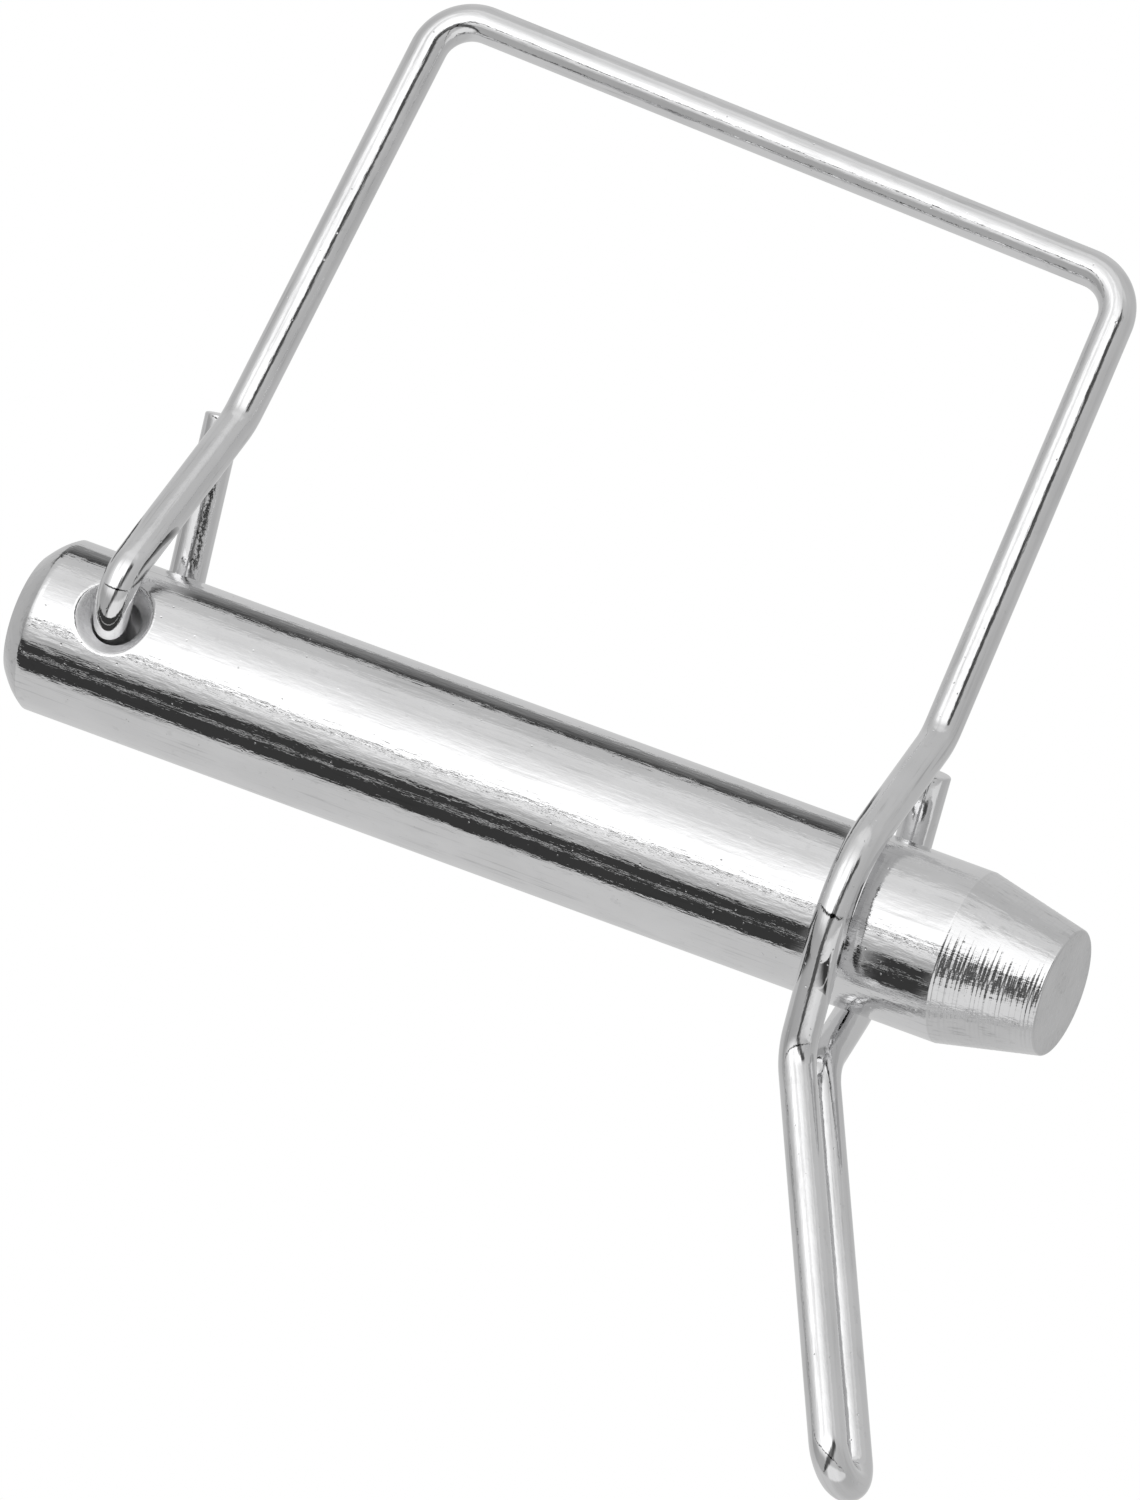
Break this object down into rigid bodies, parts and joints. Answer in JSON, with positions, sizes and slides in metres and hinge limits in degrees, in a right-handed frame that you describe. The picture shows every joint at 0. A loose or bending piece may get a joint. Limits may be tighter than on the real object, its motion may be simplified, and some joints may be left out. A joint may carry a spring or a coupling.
{
  "type": "hitch pin lock",
  "caption": "Straight locking pin with a tapered tip and a sprung square wire bail whose ring snaps over the tip end and whose tail is pulled to release it.",
  "frame": {"origin": "centre of the flat end face of the pin's head", "axes": "+X along the pin from head to tip, +Y from the pin to the bail's top bar, +Z along the cross hole; the part lies on its side with the bail flat"},
  "size_m": [0.0836, 0.095, 0.0195],
  "materials": {
    "pin_zinc": "bright zinc plate",
    "wire_zinc": "bright zinc plate"
  },
  "bodies": {
    "pin": {"pin": "pin_zinc"},
    "bail": {"bail_frame": "wire_zinc"},
    "lock_loop": {"lock_loop": "wire_zinc"}
  },
  "joints": [
    {"name": "bail_swing", "type": "hinge", "parent": "pin", "child": "bail", "pos_m": [0.00756, 0, 0], "axis": [0, 0, 1], "range_deg": [-0.5, 40]},
    {"name": "loop_flex", "type": "hinge", "parent": "bail", "child": "lock_loop", "pos_m": [0.06471, 0.045, 0.00135], "axis": [0, 0, 1], "range_deg": [0, 25], "stiffness_Nm_per_rad": 7, "deforming": ["lock_loop"]}
  ]
}
